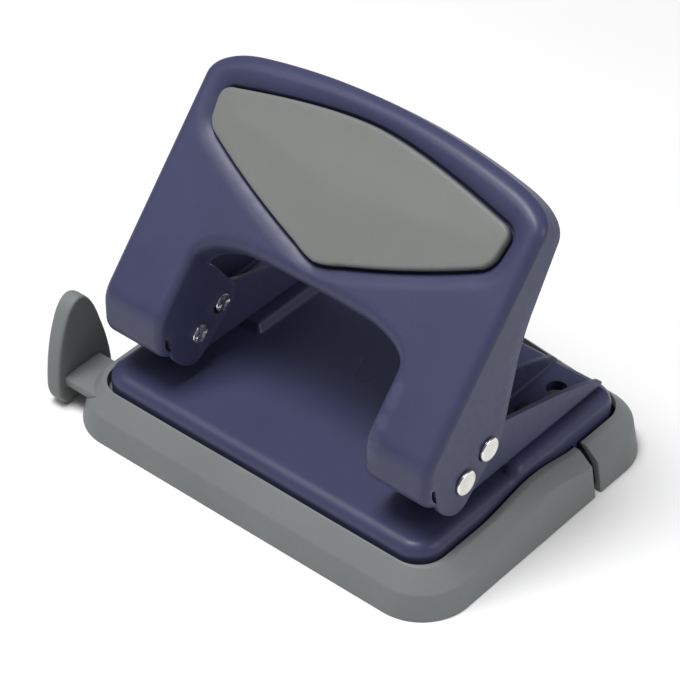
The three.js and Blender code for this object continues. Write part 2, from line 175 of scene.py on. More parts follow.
def inside(points, loop):
    x, y = points[:, 0, None], points[:, 1, None]
    a, b = loop, np.roll(loop, -1, axis=0)
    rise = np.where(np.abs(b[:, 1] - a[:, 1]) < 1e-12, 1e-12, b[:, 1] - a[:, 1])
    at = a[:, 0] + (y - a[:, 1]) * (b[:, 0] - a[:, 0]) / rise
    crosses = ((a[:, 1] > y) != (b[:, 1] > y)) & (x < at)
    return crosses.sum(1) % 2 == 1


def nearest(points, targets):
    """Distance from each point to the nearest target."""
    made = [np.linalg.norm(part[:, None] - targets[None], axis=2).min(1)
            for part in np.array_split(points, max(1, len(points) // 500))]
    return np.concatenate(made)


# ---------- meshes ----------
def grid(xs, ys):
    return np.array([(x, y) for y in ys for x in xs], float)


def fill(outer, holes=(), loops=(), lines=(), inner=np.empty((0, 2)), gap=0.45):
    """Triangulates the region inside outer and outside the holes, through the other given points."""
    closed = [outer, *holes, *loops]
    fixed = np.vstack([*closed, *lines])
    if len(inner):
        keep = inside(inner, outer)
        for hole in holes:
            keep &= ~inside(inner, hole)
        inner = inner[keep]
        inner = inner[nearest(inner, fixed) > gap]
    points = np.vstack([fixed, inner]) if len(inner) else fixed
    edges, at = [], 0
    for loop in closed:
        edges += [(at + i, at + (i + 1) % len(loop)) for i in range(len(loop))]
        at += len(loop)
    for line in lines:
        edges += [(at + i, at + i + 1) for i in range(len(line) - 1)]
        at += len(line)
    out = delaunay_2d_cdt([Vector(p) for p in points], edges, [], 0, 1e-7)
    verts, faces = np.array([tuple(v) for v in out[0]]), np.array([tuple(f) for f in out[2]])
    a, b, c = verts[faces].transpose(1, 0, 2)
    middle = (a + b + c) / 3
    area = np.abs(np.cross(b - a, c - a)) / 2
    keep = inside(middle, outer) & (area > 1e-4)
    for hole in holes:
        keep &= ~inside(middle, hole)
    return verts, faces[keep]


def strip(rows, closed=False):
    """Quads between rows of equal length."""
    n = len(rows[0])
    verts = np.vstack(rows)
    faces = []
    for r in range(len(rows) - 1):
        for i in range(n if closed else n - 1):
            a, b = r * n + i, r * n + (i + 1) % n
            faces.append((a, b, b + n, a + n))
    return verts, faces


class Patchwork:
    """Collects patches of mesh and welds them into one."""

    def __init__(self):
        self.bm = bmesh.new()

    def add(self, verts, faces):
        made = [self.bm.verts.new(Vector(v) * MM) for v in verts]
        for f in faces:
            corners = [made[i] for i in f]
            if len(set(corners)) >= 3:
                try:
                    self.bm.faces.new(corners)
                except ValueError:
                    pass
        return self

    def weld(self, distance=0.02):
        bmesh.ops.remove_doubles(self.bm, verts=self.bm.verts, dist=distance * MM)
        bmesh.ops.dissolve_degenerate(self.bm, edges=self.bm.edges, dist=0.001 * MM)
        loose = [v for v in self.bm.verts if not v.link_faces]
        bmesh.ops.delete(self.bm, geom=loose, context="VERTS")
        bmesh.ops.recalc_face_normals(self.bm, faces=self.bm.faces)
        return self

    def face_towards(self, point, direction):
        """Turns the whole sheet round if its face nearest the point doesn't look in the direction."""
        place = Vector(point) * MM
        face = min(self.bm.faces, key=lambda f: (f.calc_center_median() - place).length)
        if face.normal.dot(Vector(direction)) < 0:
            bmesh.ops.reverse_faces(self.bm, faces=self.bm.faces)
        return self

    def mesh(self, name):
        made = bpy.data.meshes.new(name)
        self.bm.to_mesh(made)
        self.bm.free()
        return made


def piece(name, mesh, material, body, stands_for, thickness=0, edge=0, angle=40, segments=2):
    """One visible piece: its mesh, sheet thickness, rounded edges, material and carrying body."""
    made = bpy.data.objects.new(name, mesh)
    bpy.context.scene.collection.objects.link(made)
    mesh.materials.append(material)
    mesh.polygons.foreach_set("use_smooth", [True] * len(mesh.polygons))
    if thickness:
        shell = made.modifiers.new("sheet", "SOLIDIFY")
        shell.thickness, shell.offset = thickness * MM, -1
        shell.use_even_offset, shell.use_quality_normals = True, True
        shell.thickness_clamp = 0
    if edge:
        bevel = made.modifiers.new("edges", "BEVEL")
        bevel.width, bevel.segments = edge * MM, segments
        bevel.limit_method, bevel.angle_limit = "ANGLE", math.radians(angle)
        bevel.miter_outer = "MITER_ARC"
        bevel.use_clamp_overlap = True
        weighted = made.modifiers.new("shading", "WEIGHTED_NORMAL")
        weighted.keep_sharp, weighted.weight = True, 50
    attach(made, body)
    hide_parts(*stands_for)
    return made


def hard_edges(mesh, angle=32):
    mesh.polygons.foreach_set("use_smooth", [True] * len(mesh.polygons))
    mesh.set_sharp_from_angle(angle=math.radians(angle))


# ---------- materials ----------
class Nodes:
    """A small helper for building a material's node tree."""

    def __init__(self, name):
        self.material = bpy.data.materials.new(name)
        self.material.use_nodes = True
        self.tree = self.material.node_tree
        self.shader = self.tree.nodes["Principled BSDF"]
        self.place = self.tree.nodes.new("ShaderNodeTexCoord").outputs["Object"]

    def node(self, kind, inputs=None, **settings):
        made = self.tree.nodes.new("ShaderNode" + kind)
        for key, value in settings.items():
            setattr(made, key, value)
        for key, value in (inputs or {}).items():
            if isinstance(value, bpy.types.NodeSocket):
                self.tree.links.new(value, made.inputs[key])
            else:
                made.inputs[key].default_value = value
        return made

    def noise(self, scale, detail=3, rough=0.55, stretch=None):
        place = self.place
        if stretch:
            place = self.node("Mapping", {"Vector": place, "Scale": stretch}).outputs["Vector"]
        inputs = {"Vector": place, "Scale": scale, "Detail": detail, "Roughness": rough}
        return self.node("TexNoise", inputs).outputs["Fac"]

    def remap(self, value, low, high, start=0.3, end=0.7):
        made = self.node("MapRange", {"Value": value, "From Min": start, "From Max": end,
                                      "To Min": low, "To Max": high})
        return made.outputs["Result"]

    def mix(self, factor, a, b, blend="MIX"):
        made = self.node("Mix", data_type="RGBA", blend_type=blend)
        for socket, value in zip((made.inputs[0], made.inputs[6], made.inputs[7]), (factor, a, b)):
            if isinstance(value, bpy.types.NodeSocket):
                self.tree.links.new(value, socket)
            else:
                socket.default_value = value
        return made.outputs[2]

    def add(self, a, b, weight):
        return self.node("Math", {0: b, 1: weight, 2: a}, operation="MULTIPLY_ADD").outputs[0]

    def bump(self, height, strength, distance):
        made = self.node("Bump", {"Height": height, "Strength": strength, "Distance": distance})
        return made.outputs["Normal"]

    def finish(self, color, roughness, normal, **constants):
        self.tree.links.new(color, self.shader.inputs["Base Color"])
        self.tree.links.new(roughness, self.shader.inputs["Roughness"])
        self.tree.links.new(normal, self.shader.inputs["Normal"])
        for name, value in constants.items():
            self.shader.inputs[name.replace("_", " ")].default_value = value
        return self.material


def blue_paint():
    n = Nodes("blue_paint")
    cloud, mottle = n.noise(38, 4), n.noise(420, 3)
    peel, grit = n.noise(950, 2), n.noise(5200, 2)
    base = n.mix(n.remap(cloud, 0, 1), (0.037, 0.040, 0.088, 1), (0.044, 0.047, 0.101, 1))
    fleck = n.mix(n.remap(grit, 0, 0.35, 0.45, 0.75), base, (0.062, 0.065, 0.14, 1))
    # Convex edges found by pointiness are mixed toward a paler blue: a painted highlight along the edges.
    edge = n.node("NewGeometry").outputs["Pointiness"]
    painted_edge_highlight = n.mix(n.remap(edge, 0, 0.25, 0.53, 0.62), fleck, (0.09, 0.094, 0.17, 1))
    rough = n.add(n.remap(mottle, 0.34, 0.42), cloud, 0.05)
    return n.finish(painted_edge_highlight, rough, n.bump(n.add(peel, grit, 0.3), 0.16, 0.00012),
                    Specular_IOR_Level=0.26, Coat_Weight=0.04, Coat_Roughness=0.2)


def grey_plastic():
    n = Nodes("grey_plastic")
    cloud, grain = n.noise(24, 4), n.noise(3600, 3)
    scuff = n.noise(160, 4, 0.6, stretch=(1, 0.16, 1))
    base = n.mix(n.remap(cloud, 0, 1), (0.160, 0.171, 0.170, 1), (0.182, 0.194, 0.194, 1))
    pale = n.mix(n.remap(scuff, 0, 0.16, 0.56, 0.76), base, (0.27, 0.285, 0.28, 1))
    speck = n.mix(n.remap(grain, 0, 0.3, 0.5, 0.8), pale, (0.125, 0.135, 0.133, 1))
    rough = n.add(n.remap(grain, 0.44, 0.58), scuff, 0.06)
    return n.finish(speck, rough, n.bump(grain, 0.3, 0.00006), Specular_IOR_Level=0.25)


def pad_plastic():
    n = Nodes("pad_plastic")
    cloud, grain, pores = n.noise(30, 3), n.noise(4200, 3), n.noise(1400, 2)
    base = n.mix(n.remap(cloud, 0, 1), (0.142, 0.149, 0.143, 1), (0.158, 0.165, 0.159, 1))
    speck = n.mix(n.remap(grain, 0, 0.35, 0.5, 0.8), base, (0.112, 0.118, 0.113, 1))
    rough = n.remap(grain, 0.5, 0.64)
    return n.finish(speck, rough, n.bump(n.add(grain, pores, 0.6), 0.35, 0.00006), Specular_IOR_Level=0.4)


def bright_metal(name, color, rough_low, rough_high):
    n = Nodes(name)
    cloud, scratch = n.noise(260, 4), n.noise(900, 4, 0.7, stretch=(0.4, 1, 3))
    pits = n.noise(5000, 2)
    stained = n.mix(n.remap(cloud, 0, 0.3, 0.5, 0.8), color, tuple(0.78 * c for c in color[:3]) + (1,))
    rough = n.add(n.remap(scratch, rough_low, rough_high), pits, 0.04)
    return n.finish(stained, rough, n.bump(n.add(scratch, pits, 0.5), 0.12, 0.00003), Metallic=1.0)


BLUE, GREY, PAD_GREY = blue_paint(), grey_plastic(), pad_plastic()
NICKEL = bright_metal("nickel", (0.84, 0.83, 0.79, 1), 0.10, 0.20)
SPRING_STEEL = bright_metal("spring_steel", (0.52, 0.52, 0.53, 1), 0.24, 0.36)


# ---------- tray and rear shell ----------
def side_hump(y):
    return np.cos(math.pi / 2 * np.minimum(1, np.abs(y - 1) / 19)) ** 2


def rise(x, y, side, back):
    """How far a line of the tray rises at the middle of its sides and of its back."""
    at_side = side * side_hump(y) * smooth((np.abs(x) - 43) / 4)
    at_back = back * np.where(y > 25, np.cos(math.pi / 2 * np.minimum(1, np.abs(x) / 50)) ** 2, 0)
    return at_side + at_back


def inset(o, d):
    return dict(half_x=o["half_x"] - d, front=o["front"] + d, back=o["back"] - d,
                corner=max(o["corner"] - d, 1))


def ring(o, height, arc_steps=20, long_steps=56, short_steps=44):
    """Rounded rectangle, counter-clockwise from above, from the front right corner."""
    h, f, b, c = o["half_x"], o["front"], o["back"], o["corner"]
    corners = [(h - c, f + c, -90), (h - c, b - c, 0), (c - h, b - c, 90), (c - h, f + c, 180)]
    arcs = []
    for cx, cy, start in corners:
        turn = np.radians(np.linspace(start, start + 90, arc_steps + 1))
        arcs.append(np.column_stack([cx + c * np.cos(turn), cy + c * np.sin(turn)]))
    parts = []
    for k, arc in enumerate(arcs):
        steps = short_steps if k % 2 == 0 else long_steps
        share = np.linspace(0, 1, steps + 1)[1:-1, None]
        parts += [arc, arc[-1] + (arcs[(k + 1) % 4][0] - arc[-1]) * share]
    flat = np.vstack(parts)
    z = height(flat[:, 0], flat[:, 1]) if callable(height) else np.full(len(flat), float(height))
    return np.column_stack([flat, z])


def rounded(rings, cuts, steps=4):
    """The rings with a fillet in place of each one that has a cut length."""
    made = []
    for k, (here, cut) in enumerate(zip(rings, cuts)):
        if not cut:
            made.append(here)
            continue
        before, after = rings[k - 1] - here, rings[k + 1] - here
        a = here + before * (cut / np.linalg.norm(before, axis=1))[:, None]
        b = here + after * (cut / np.linalg.norm(after, axis=1))[:, None]
        for t in np.linspace(0, 1, steps + 1):
            made.append((1 - t) ** 2 * a + 2 * t * (1 - t) * here + t * t * b)
    return made


def capped(patch, rings):
    verts, faces = strip(rings, closed=True)
    n, top = len(rings[0]), len(verts) - len(rings[0])
    return patch.add(verts, faces + [tuple(range(n))[::-1], tuple(range(top, top + n))])


def crease_z(x, y):
    behind = CREASE["rear"] * smooth((y - 2) / 16)
    return CREASE["z"] + behind + rise(x, y, CREASE["rise"], LIP["back_rise"])


def lip_z(x, y):
    return LIP["z"] + rise(x, y, LIP["rise"], LIP["back_rise"])


def tray_shell():
    """The whole moulding as one closed loft: outside, lip, then inside down to the floor."""
    def under_lip(x, y):
        return lip_z(x, y) - 2.2

    rings = [
        ring(inset(TRAY, 2), 0), ring(TRAY, 0),
        ring(inset(TRAY, CREASE["inset"]), crease_z), ring(LIP_EDGE, lip_z),
        ring(OPENING, lambda x, y: lip_z(x, y) + 0.1), ring(OPENING, under_lip),
        ring(inset(TRAY, CREASE["inset"] + TRAY_WALL), lambda x, y: crease_z(x, y) - 1.3),
        ring(inset(TRAY, TRAY_WALL), TRAY_WALL), ring(inset(TRAY, TRAY_WALL + 2), TRAY_WALL),
    ]
    return capped(Patchwork(), rounded(rings, [0, 0.5, 0.45, 0.4, 0.3, 0, 0, 0.8, 0], 4)).weld(0.002)


def cut_at(patch, y, keep_front):
    """Cuts the moulding square across and rounds the cut edges."""
    bm = patch.bm
    geom = list(bm.verts) + list(bm.edges) + list(bm.faces)
    bmesh.ops.bisect_plane(bm, geom=geom, plane_co=(0, y * MM, 0), plane_no=(0, 1, 0),
                           clear_outer=keep_front, clear_inner=not keep_front)
    rim = [e for e in bm.edges if e.is_boundary]
    made = bmesh.ops.holes_fill(bm, edges=rim, sides=0)["faces"]
    bmesh.ops.recalc_face_normals(bm, faces=bm.faces)
    edges = {e for f in made for e in f.edges}
    bmesh.ops.bevel(bm, geom=list(edges), offset=0.22 * MM, offset_type="OFFSET", segments=2,
                    profile=0.5, affect="EDGES", clamp_overlap=False)
    return patch


def block(patch, x0, x1, y0, y1, z0, z1, edge=0.25):
    """A moulded rib with rounded edges."""
    bm = bmesh.new()
    bmesh.ops.create_cube(bm, size=1)
    for v in bm.verts:
        v.co = Vector(((x0 + x1) / 2 + v.co.x * (x1 - x0), (y0 + y1) / 2 + v.co.y * (y1 - y0),
                       (z0 + z1) / 2 + v.co.z * (z1 - z0))) * MM
    bmesh.ops.bevel(bm, geom=list(bm.edges), offset=edge * MM, segments=2, profile=0.5, affect="EDGES")
    verts = [tuple(v.co / MM) for v in bm.verts]
    bm.verts.index_update()
    faces = [tuple(v.index for v in f.verts) for f in bm.faces]
    bm.free()
    return patch.add(verts, faces)


def subtract(piece_mesh, cutter_mesh):
    """The first mesh less the second."""
    objects = [bpy.data.objects.new("work", m) for m in (piece_mesh, cutter_mesh)]
    for o in objects:
        bpy.context.scene.collection.objects.link(o)
    cut = objects[0].modifiers.new("cut", "BOOLEAN")
    cut.operation, cut.object, cut.solver = "DIFFERENCE", objects[1], "EXACT"
    bpy.context.view_layer.update()
    graph = bpy.context.evaluated_depsgraph_get()
    made = bpy.data.meshes.new_from_object(objects[0].evaluated_get(graph))
    for o in objects:
        bpy.data.objects.remove(o)
    return made


def build_tray():
    half = SLOT / 2
    front = cut_at(tray_shell(), SPLIT_Y - half, True)
    channel = block(Patchwork(), -75, BAR["channel"], BAR["front"] - 0.3, BAR["back"] + 0.3,
                    BAR["low"] - 0.2, BAR["top"] + 0.2, 0.1)
    shell = subtract(front.mesh("chip_tray"), channel.mesh("channel"))
    ribs = Patchwork()
    ribs.bm.from_mesh(shell)
    floor = TRAY_WALL - 0.2
    for y in (-37, -30):
        block(ribs, -47, 47, y, y + 1, floor, BAR["low"] - 0.2)
    block(ribs, -47, 47, BAR["back"] + 0.3, BAR["back"] + 1.5, floor, BAR["top"] + 1.4)
    block(ribs, -47, 47, BAR["back"] - 1.2, BAR["back"] + 1, BAR["top"] + 0.3, BAR["top"] + 1.3)
    block(ribs, -45, 45, SPLIT_Y - 1.2, SPLIT_Y - 0.15, 0.02, 0.8, 0.15)
    mesh = ribs.mesh("chip_tray")
    hard_edges(mesh)
    piece("chip_tray_moulding", mesh, GREY, "tray", ["chip_tray"])

    rear = cut_at(tray_shell(), SPLIT_Y + half, False)
    block(rear, -45, 45, SPLIT_Y + 0.15, SPLIT_Y + 1.2, 0.02, 0.8, 0.15)
    mesh = rear.mesh("rear_shell")
    hard_edges(mesh)
    piece("rear_shell_moulding", mesh, GREY, "base", ["rear_shell"])


# ---------- base plate ----------
def plate_top(x, y):
    """Height of the pressed plate: its front half, and the two raised seats."""
    soft = STEP["soft"]
    across = smooth((np.abs(x) - STEP["inner_x"]) / soft + 0.5)
    along = smooth((y - STEP["front"]) / soft + 0.5) * smooth((STEP["back"] - y) / 2.4 + 0.5)
    return PLATE_Z + STEP["height"] * across * along


def centre_mark():
    """Legs of the V that marks the middle of the paper, as three lines each: edge, groove, edge."""
    lines, groove = [], []
    for side in (-1, 1):
        foot, head = np.array((0.35 * side, -1.4)), np.array((3.9 * side, 5.8))
        leg = densify(np.array([foot, head]), 0.8, closed=False)
        across = np.array((head - foot)[::-1]) * (1, -1)
        across = across / np.linalg.norm(across) * 0.22
        lines += [leg - across, leg, leg + across]
        groove.append(leg)
    return lines, np.vstack(groove)


def graded(low, high, spacing, fine, zones):
    """Coordinates at the spacing, and closer together within the zones."""
    made, at = [], low
    while at < high:
        made.append(at)
        at += fine if any(abs(at - z) < 2 for z in zones) else spacing
    return np.array(made)


def build_plate():
    patch = Patchwork()
    rings = [ring(PLATE, PLATE_LOW)]
    for turn in np.linspace(0, math.pi / 2, 9):
        o = inset(PLATE, PLATE_EDGE * (1 - math.cos(turn)))
        drop = PLATE_EDGE * (1 - math.sin(turn))
        rings.append(ring(o, lambda x, y: plate_top(x, y) - drop))
    patch.add(*strip(rings, closed=True))
    outer = rings[-1][:, :2]
    bores = (FIX_HOLE["y"], FIX_HOLE["r"]), (PUNCH_Y, ROD["r"] + 0.1)
    holes = [circle(s * HOLE_X, y, r) for s in (-1, 1) for y, r in bores]
    lines, groove = centre_mark()
    xs = graded(-47, 47, 1.4, 0.4, (-STEP["inner_x"], STEP["inner_x"]))
    ys = graded(-34, 37, 1.4, 0.4, (STEP["front"], STEP["back"]))
    flat, faces = fill(outer, holes, lines=lines, inner=grid(xs, ys))
    z = plate_top(flat[:, 0], flat[:, 1]) - 0.16 * (nearest(flat, groove) < 1e-4)
    patch.add(np.column_stack([flat, z]), faces).weld().face_towards((0, -20, 16), (0, 0, 1))
    piece("base_plate_pressing", patch.mesh("base_plate"), BLUE, "base", ["base_plate"],
          thickness=PLATE_SHEET, edge=0.3)


# ---------- brackets ----------
def unfold(z):
    """Distance from the middle of the floor, along the bent sheet, to a height on the wall."""
    bend, flat = BRACKET["bend"], BRACKET["half"] - BRACKET["bend"]
    up = np.asarray(z, float) - BRACKET["bottom"]
    in_bend = flat + bend * np.arccos(np.clip(1 - up / bend, -1, 1))
    return np.where(up < bend, in_bend, flat + bend * math.pi / 2 + up - bend)


def folded(u, y, centre):
    bend, flat = BRACKET["bend"], BRACKET["half"] - BRACKET["bend"]
    turn = np.clip((np.abs(u) - flat) / bend, 0, math.pi / 2)
    over = np.maximum(np.abs(u) - flat - bend * math.pi / 2, 0)
    x = np.minimum(np.abs(u), flat) + bend * np.sin(turn)
    z = BRACKET["bottom"] + bend * (1 - np.cos(turn)) + over
    return np.column_stack([centre + np.sign(u) * x, y, z])


def bracket_side():
    """Side view of a bracket, from the floor's front end up and back to the floor's rear end."""
    front, bottom, back = BRACKET["front"], BRACKET["bottom"], BRACKET["back"]
    o = Outline(front + 6, bottom).curve(front, bottom, front, bottom + 7, steps=14)
    o.curve(front, 32, -25, 34.5, steps=10).curve(-21, 38, -14, 36.4, steps=12)
    o.curve(-9, 35.1, -5.1, 33.5, steps=6).line(13, 28.5)
    o.curve(back - 7, bottom + 6, back - 2.8, bottom + 3.7, steps=12)
    o.curve(back + 0.1, bottom + 2.6, back - 0.4, bottom + 0.8, steps=8)
    return o.curve(back - 0.7, bottom, back - 2, bottom, steps=5).array()


def build_bracket(name, side):
    centre = side * HOLE_X
    view = densify(bracket_side(), 1.0, closed=False)
    flat = np.column_stack([unfold(view[:, 1]), view[:, 0]])
    flat[0, 0] = flat[-1, 0] = BRACKET["half"] - BRACKET["bend"]
    outer = densify(np.vstack([flat, flat[::-1] * (-1, 1)]), 1.2)
    drop = STROKE + 0.3
    y, z = DRIVE["y"], DRIVE["z"]
    wall_holes = [circle(PIVOT["y"], PIVOT["z"], PIVOT["pin_r"] + 0.08),
                  stadium(y, z - drop, y, z + 0.1, DRIVE["pin_r"] + 0.25)]
    holes = [circle(0, PUNCH_Y, 2.85), circle(0, FIX_HOLE["y"], FIX_HOLE["r"])]
    for hole in wall_holes:
        for s in (-1, 1):
            holes.append(np.column_stack([s * unfold(hole[:, 1]), hole[:, 0]]))
    half = BRACKET["half"]
    bends = [s * u for s in (-1, 1) for u in np.linspace(half - 2, half - 2 + math.pi, 9)]
    us = np.sort(np.r_[bends, np.arange(-4.5, 4.6, 1.5), np.arange(10, 28, 1.5), -np.arange(10, 28, 1.5)])
    flat, faces = fill(outer, holes, inner=grid(us, np.arange(-27, 34, 1.5)), gap=0.4)
    patch = Patchwork().add(folded(flat[:, 0], flat[:, 1], centre), faces)
    patch.weld(0.002).face_towards((centre, 8, BRACKET["bottom"]), (0, 0, -1))
    piece(f"{name}_bracket_pressing", patch.mesh(f"{name}_bracket"), BLUE, "base", [f"{name}_bracket"],
          thickness=SHEET, edge=0.22)


# ---------- lever ----------
BEND_TANGENT = FOOT["bend"] * math.tan(LEAN / 2)
FOOT_CORNER = (FOOT["y"] - FACE_Y) / math.sin(LEAN)  # where the leaning face would meet the upright one
S_BEND = FOOT_CORNER + BEND_TANGENT
S_UPRIGHT = S_BEND - FOOT["bend"] * LEAN
Z_UPRIGHT = FACE_Z + FOOT_CORNER * math.cos(LEAN) - BEND_TANGENT
S_CURL = S_UPRIGHT - (Z_UPRIGHT - FOOT["curl_z"])
S_END = S_CURL - FOOT["curl"] * FOOT["curl_angle"]
S_NOTCH = S_UPRIGHT - (Z_UPRIGHT - NOTCH_Z)


def profile(s):
    """Side view of the lever's front sheet: y, z and the tilt of its normal at distance s up the face."""
    s = np.asarray(s, float)
    y = FACE_Y + s * math.sin(LEAN)
    z = FACE_Z + s * math.cos(LEAN)
    tilt = np.full(s.shape, LEAN)

    bend, curl = FOOT["bend"], FOOT["curl"]
    turned = LEAN - (S_BEND - s) / bend
    inner = s < S_BEND
    y = np.where(inner, FOOT["y"] + bend * (1 - np.cos(turned)), y)
    z = np.where(inner, Z_UPRIGHT + bend * np.sin(turned), z)
    tilt = np.where(inner, turned, tilt)

    upright = s < S_UPRIGHT
    y = np.where(upright, FOOT["y"], y)
    z = np.where(upright, Z_UPRIGHT - (S_UPRIGHT - s), z)
    tilt = np.where(upright, 0, tilt)

    turned = np.maximum(S_CURL - s, 0) / curl
    curled = s < S_CURL
    y = np.where(curled, FOOT["y"] + curl * (1 - np.cos(turned)), y)
    z = np.where(curled, FOOT["curl_z"] - curl * np.sin(turned), z)
    return y, z, np.where(curled, -turned, tilt)


def pad_outline(d=0.0):
    """Right half of the pad's outline, from the bottom vertex to the top middle, grown by d."""
    p = PAD
    o = Outline(0, p["vertex"] - 1.2 * d)
    o.curve(3, p["vertex"] + 0.35 - 1.2 * d, 6.5, p["vertex"] + 2.0 - 1.15 * d, steps=8)
    o.curve(24, p["vertex"] + 7.9 - 1.1 * d, p["half_low"] - 2.2 + d, p["low"] - 0.8 - d, steps=36)
    side = p["half_low"] + d
    o.curve(side - 0.4, p["low"] + 0.6 - 0.6 * d, side + 0.1, p["low"] + 2.6, steps=10)
    o.line(p["half_top"] + d, p["top"] - 1.4)
    o.curve(p["half_top"] + d, p["top"] + 1.5 + d, p["half_top"] - 3.6, p["top"] + 2.0 + d, steps=12)
    o.curve(14, p["crown"] - 0.1 + d, 0, p["crown"] + d, steps=36)
    right = o.array()
    return np.vstack([right, right[::-1][1:-1] * (-1, 1)])


PAD_LOOP = even(pad_outline(), 0.9)


def pad_distance(points):
    """Distance outside the pad's outline; negative under the pad."""
    fine = densify(PAD_LOOP, 0.15)
    return nearest(points, fine) * np.where(inside(points, PAD_LOOP), -1, 1)


def dish(points):
    """How deep the sheet is pressed in round and under the pad."""
    d = pad_distance(points)
    slope = DISH["depth"] * np.clip((DISH["width"] - d) / (DISH["width"] - 0.4), 0, 1) ** 2
    return slope + (DISH["pocket"] - DISH["depth"]) * smooth((0.75 - d) / 0.5)


def lever_point(x, s, depth, flat=None):
    """A point of the lever's sheet: x across, s up the face, depth behind its outer surface."""
    if flat is not None:
        depth = depth + dish(flat)
    y, z, tilt = profile(s)
    return np.column_stack([x, y + depth * np.cos(tilt), z - depth * np.sin(tilt)])


def outer_edge():
    """The lever's outer edge in the plane of its face, from the right arm over the crown to the left."""
    w = LEVER["half_x"]
    joint = (w - SHOULDER["inset"], LEVER["crown"] - SHOULDER["drop"])
    corner_top = joint[1] - SHOULDER["inset"] * SHOULDER["slope"]
    o = Outline(w, LEVER["side"]).curve(w, corner_top, *joint, steps=30)
    o.curve(18, LEVER["crown"] + 0.15, 0, LEVER["crown"], steps=30)
    return mirrored(o.array()[:-1])


def arch_edge():
    """The opening's edge, from the right arm over the arch to the left arm."""
    inner = LEVER["arm_in"]
    o = Outline(inner, ARCH["side"])
    o.curve(inner, ARCH["knee"], ARCH["shoulder_x"], ARCH["shoulder"], steps=24)
    o.curve(16.5, ARCH["top"], 0, ARCH["top"], steps=24)
    return mirrored(o.array()[:-1])


def with_legs(edge, spacing):
    """The edge, and the straight sides down to the relief notches of the feet, at even distances."""
    top = even(edge, spacing, closed=False)
    count = round((top[0, 1] - S_NOTCH) / spacing)
    tab = np.linspace(S_END, S_NOTCH, 19)[:-1]
    leg = np.r_[tab, np.linspace(S_NOTCH, top[0, 1], count + 1)[:-1]]
    right = np.column_stack([np.full(len(leg), top[0, 0]), leg])
    return np.vstack([right, top, right[::-1] * (-1, 1)]), len(tab), len(leg)


def add_fold(patch, edge, towards, radius, tab):
    """The sheet's bend along an edge: all of it above the notches, and only its start beside the tabs."""
    radius = np.broadcast_to(np.reshape(radius, (-1, 1)), (len(edge), 1))

    def rows(turns, part):
        made = []
        for turn in turns:
            flat = (edge + towards * radius * (1 - math.sin(turn)))[part]
            depth = (radius * (1 - math.cos(turn)))[part, 0]
            made.append(lever_point(flat[:, 0], flat[:, 1], depth, flat))
        return made

    patch.add(*strip(rows(np.linspace(0, TAB_TURN, 6), slice(None))))
    patch.add(*strip(rows(np.linspace(TAB_TURN, math.pi / 2, 4), slice(tab, len(edge) - tab))))
    return edge + towards * radius


def flange_strip(edge, radii, depth, steps=5):
    """Flange behind a bend, down to the given depth; radii holds the bend's radius at each point."""
    x, s = edge.T
    return strip([lever_point(x, s, d) for d in np.linspace(radii, depth, steps)])


def ear(edge_s, radius, rear):
    """Outline of a flat ear in side view: up behind the bend, down the rear edge, and round the foot."""
    y, z, tilt = profile(edge_s)
    front = np.column_stack([y + radius * np.cos(tilt), z - radius * np.sin(tilt)])
    front[0, 1] -= 0.01
    top = np.column_stack(profile(np.full(5, edge_s[-1]))[:2])
    depths = np.linspace(radius, LEVER["rim"], 5)[:, None]
    top = (top + depths * (math.cos(LEAN), -math.sin(LEAN)))[1:]
    lobe = Outline(*rear[-1]).curve(-23, 18.2, -27, 21.0, steps=12)
    lobe.curve(-31.6, 24.2, -31.9, 28.6, steps=12).line(FOOT["y"] + EAR_FRONT, NOTCH_Z - 0.3)
    rear, lobe = densify(rear, 1.2, closed=False), densify(lobe.array(), 0.8, closed=False)
    return np.vstack([front, top, rear, lobe[1:]])


def outer_rear():
    o = Outline(1.8, 65).curve(-2.9, 57.5, -4.7, 49, steps=12).line(-7.8, 36.2)
    return o.curve(-8.4, 32.6, -12.5, 28.6, steps=8).line(-19.8, 22.2).array()


def inner_rear():
    o = Outline(-15.2, 43.6).curve(-12.4, 39.4, -9.3, 35.6, steps=10)
    return o.curve(-8.4, 31.8, -12.5, 28.6, steps=8).line(-19.8, 22.2).array()


def pin_holes(extra=0.0):
    reach = np.array((DRIVE["y"] - PIVOT["y"], DRIVE["z"] - PIVOT["z"]))
    length = np.linalg.norm(reach)
    near = np.array((PIVOT["y"], PIVOT["z"])) + reach / length * (DRIVE["y"] - PIVOT["y"] - 0.2)
    far = np.array((PIVOT["y"], PIVOT["z"])) + reach / length * (length + 0.2)
    return [circle(PIVOT["y"], PIVOT["z"], PIVOT["pin_r"] + 0.1 + extra),
            stadium(*near, *far, DRIVE["pin_r"] + 0.35 + extra)]


def add_ear(patch, x, edge_s, radius, rear):
    inner = grid(np.arange(-36, 12, 1.6), np.arange(18, 82, 1.6))
    flat, faces = fill(ear(edge_s, radius, rear), pin_holes(), inner=inner, gap=0.7)
    patch.add(np.column_stack([np.full(len(flat), x), flat]), faces)


def face_domain(outer_ring, arch_ring):
    """Boundary of the lever's front sheet between its bends, with the curled feet."""
    foot = densify(np.array([arch_ring[0], outer_ring[0]]), 1.0, closed=False)[1:-1]
    return np.vstack([foot, outer_ring, foot[::-1] * (-1, 1), arch_ring[::-1]])


